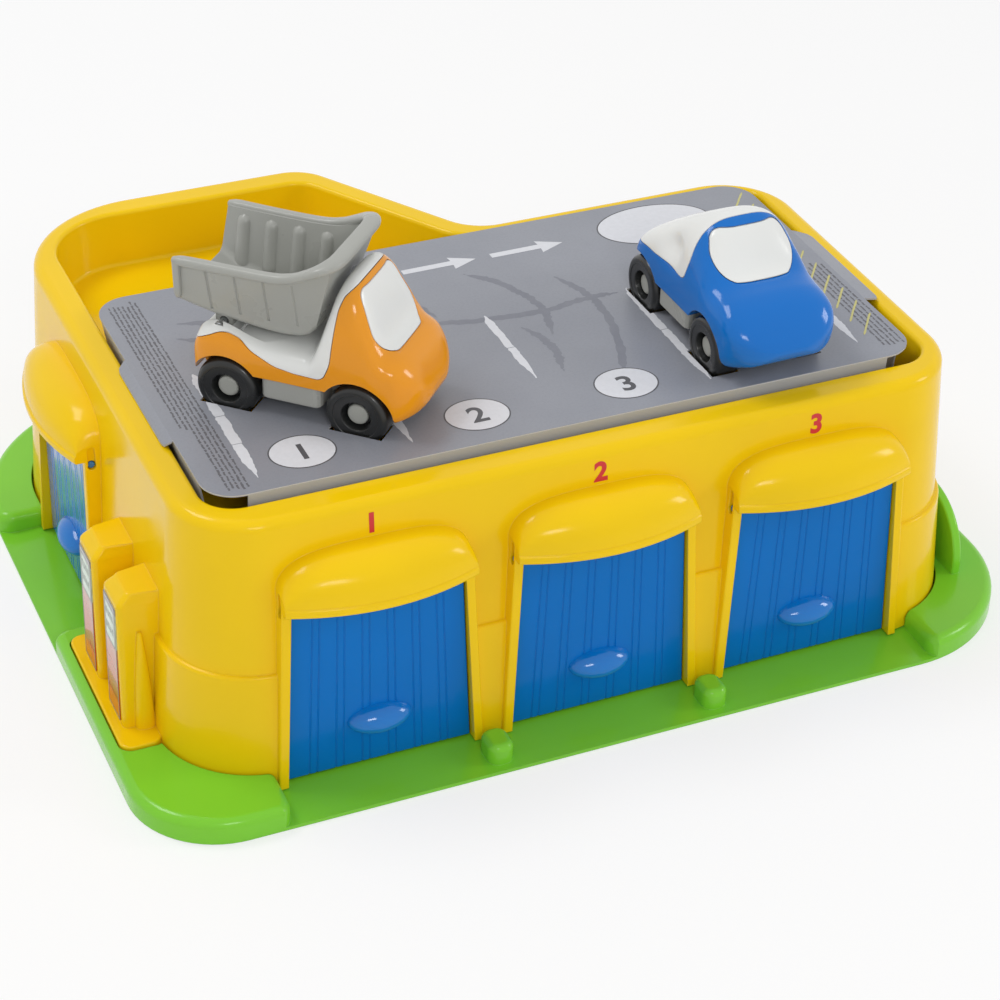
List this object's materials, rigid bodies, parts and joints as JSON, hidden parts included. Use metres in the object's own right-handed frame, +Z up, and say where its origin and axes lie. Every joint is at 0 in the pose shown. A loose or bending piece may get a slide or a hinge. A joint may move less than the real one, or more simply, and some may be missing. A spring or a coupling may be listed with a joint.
{
  "type": "toy garage",
  "caption": "Toy garage on a base plate, with swinging roller-style doors, a roof parking deck, a dump truck and a small car.",
  "frame": {"origin": "centre of the underside of the base plate, at the middle of its length and depth", "axes": "+X along the row of three doors to the right, +Y to the back, +Z up"},
  "size_m": [0.3956, 0.32, 0.198],
  "materials": {
    "green_plastic": "glossy moulded plastic",
    "yellow_plastic": "glossy moulded plastic",
    "blue_plastic": "glossy moulded plastic",
    "orange_plastic": "glossy moulded plastic",
    "white_plastic": "satin moulded plastic",
    "grey_plastic": "satin moulded plastic",
    "black_tyre": "smooth black wheel",
    "printed_card": "printed card with a thin gloss coat",
    "printed_label": "printed label",
    "screw_steel": "plated steel"
  },
  "bodies": {
    "garage": {"base_plate": "green_plastic", "garage_shell": "yellow_plastic", "base_screw_1": "screw_steel", "base_screw_2": "screw_steel", "base_screw_3": "screw_steel", "base_screw_4": "screw_steel", "pump_label_front": "printed_label", "pump_label_rear": "printed_label"},
    "front_door_left": {"front_door_left": "blue_plastic"},
    "front_door_middle": {"front_door_middle": "blue_plastic"},
    "front_door_right": {"front_door_right": "blue_plastic"},
    "side_door": {"side_door": "blue_plastic"},
    "parking_card": {"parking_card": "printed_card"},
    "truck": {"truck_shell": "orange_plastic", "truck_body": "white_plastic", "truck_chassis": "grey_plastic", "tipper_pin": "screw_steel"},
    "tipper_bed": {"tipper_bed": "grey_plastic"},
    "truck_front_wheels": {"truck_front_axle": "grey_plastic", "truck_front_left_wheel": "black_tyre", "truck_front_right_wheel": "black_tyre"},
    "truck_rear_wheels": {"truck_rear_axle": "grey_plastic", "truck_rear_left_wheel": "black_tyre", "truck_rear_right_wheel": "black_tyre"},
    "car": {"car_shell": "blue_plastic", "car_top": "white_plastic", "car_chassis": "grey_plastic"},
    "car_front_wheels": {"car_front_axle": "grey_plastic", "car_front_left_wheel": "black_tyre", "car_front_right_wheel": "black_tyre"},
    "car_rear_wheels": {"car_rear_axle": "grey_plastic", "car_rear_left_wheel": "black_tyre", "car_rear_right_wheel": "black_tyre"}
  },
  "joints": [
    {"name": "front_door_left_swing", "type": "hinge", "parent": "garage", "child": "front_door_left", "pos_m": [-0.09775, -0.1347, 0.0843], "axis": [-1, 0, 0], "range_deg": [0, 80]},
    {"name": "front_door_middle_swing", "type": "hinge", "parent": "garage", "child": "front_door_middle", "pos_m": [-0.00245, -0.1347, 0.0843], "axis": [-1, 0, 0], "range_deg": [0, 80]},
    {"name": "front_door_right_swing", "type": "hinge", "parent": "garage", "child": "front_door_right", "pos_m": [0.09285, -0.1347, 0.0843], "axis": [-1, 0, 0], "range_deg": [0, 80]},
    {"name": "side_door_swing", "type": "hinge", "parent": "garage", "child": "side_door", "pos_m": [-0.17435, 0.028, 0.0843], "axis": [0, 1, 0], "range_deg": [0, 80]},
    {"name": "card_lift", "type": "slide", "parent": "garage", "child": "parking_card", "axis": [0, 0, 1], "range_m": [0, 0.08]},
    {"name": "truck_lift", "type": "slide", "parent": "parking_card", "child": "truck", "axis": [0, 0, 1], "range_m": [0, 0.06]},
    {"name": "car_lift", "type": "slide", "parent": "parking_card", "child": "car", "axis": [0, 0, 1], "range_m": [0, 0.06]},
    {"name": "tipper_tilt", "type": "hinge", "parent": "truck", "child": "tipper_bed", "pos_m": [-0.11435, -0.0313, 0.1595], "axis": [-0.6921, -0.7218, 0], "range_deg": [0, 40]},
    {"name": "truck_front_wheels_roll", "type": "hinge", "parent": "truck", "child": "truck_front_wheels", "pos_m": [-0.07213, -0.07179, 0.134], "axis": [0.6921, 0.7218, 0], "continuous": true},
    {"name": "truck_rear_wheels_roll", "type": "hinge", "parent": "truck", "child": "truck_rear_wheels", "pos_m": [-0.11182, -0.03373, 0.134], "axis": [0.6921, 0.7218, 0], "continuous": true},
    {"name": "car_front_wheels_roll", "type": "hinge", "parent": "car", "child": "car_front_wheels", "pos_m": [0.08397, -0.09046, 0.134], "axis": [0.9998, 0.0192, 0], "continuous": true},
    {"name": "car_rear_wheels_roll", "type": "hinge", "parent": "car", "child": "car_rear_wheels", "pos_m": [0.08292, -0.03547, 0.134], "axis": [0.9998, 0.0192, 0], "continuous": true}
  ]
}
